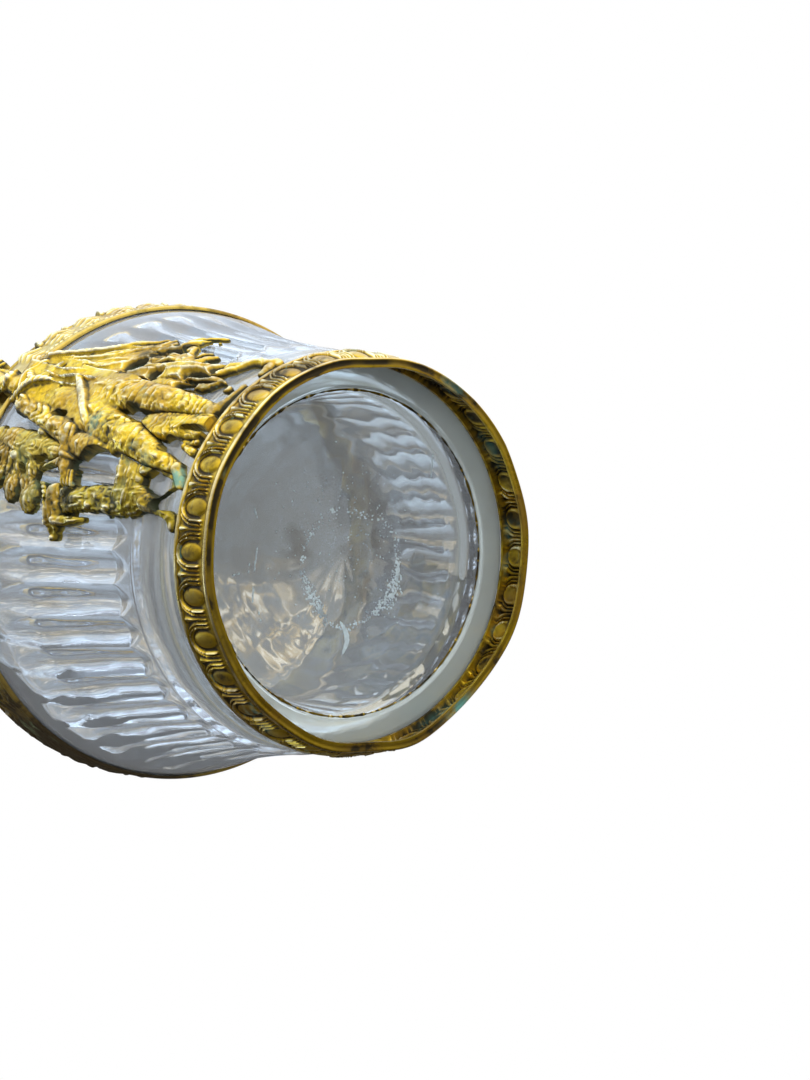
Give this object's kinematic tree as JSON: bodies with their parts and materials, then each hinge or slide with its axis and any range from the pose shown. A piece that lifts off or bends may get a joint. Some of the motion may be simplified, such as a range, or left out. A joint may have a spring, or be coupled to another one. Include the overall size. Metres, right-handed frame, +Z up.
{
  "type": "liquor decanter",
  "caption": "Flared glass decanter with a ground ball stopper, hollow-cut flutes, a gilt egg-and-dart ring under the foot, a gilt shoulder band and gilt hunting groups in relief.",
  "frame": {"origin": "middle of the round base, on the plane of the ring's lip that the decanter stands on", "axes": "+Z up along the body's axis to the stopper, -Y out of the front hunting group, +X to the right of it"},
  "size_m": [0.1194, 0.1276, 0.2479],
  "materials": {
    "crystal": "clear polished lead glass with cut flutes",
    "gilt": "rubbed gilt metal, brown in the hollows",
    "aged_gilt": "darkened gilt metal, brown and black in the hollows, spots of green",
    "leaf_gilt": "tarnished gilt metal, olive green in the hollows"
  },
  "bodies": {
    "decanter": {"glass_body": "crystal", "base_ring": "aged_gilt", "shoulder_band": "aged_gilt", "front_hunter": "gilt", "front_hound": "aged_gilt", "front_second_hound": "gilt", "front_game": "gilt", "front_stump": "aged_gilt", "front_oak_branch": "leaf_gilt", "rear_hunter": "gilt", "rear_hound": "aged_gilt", "rear_second_hound": "gilt", "rear_game": "gilt", "rear_stump": "aged_gilt", "rear_oak_branch": "leaf_gilt", "neck_collar": "gilt"},
    "stopper": {"glass_stopper": "crystal", "stopper_cap": "gilt"}
  },
  "joints": [
    {"name": "stopper_lift", "type": "slide", "parent": "decanter", "child": "stopper", "axis": [0, 0, 1], "range_m": [0, 0.045]}
  ]
}
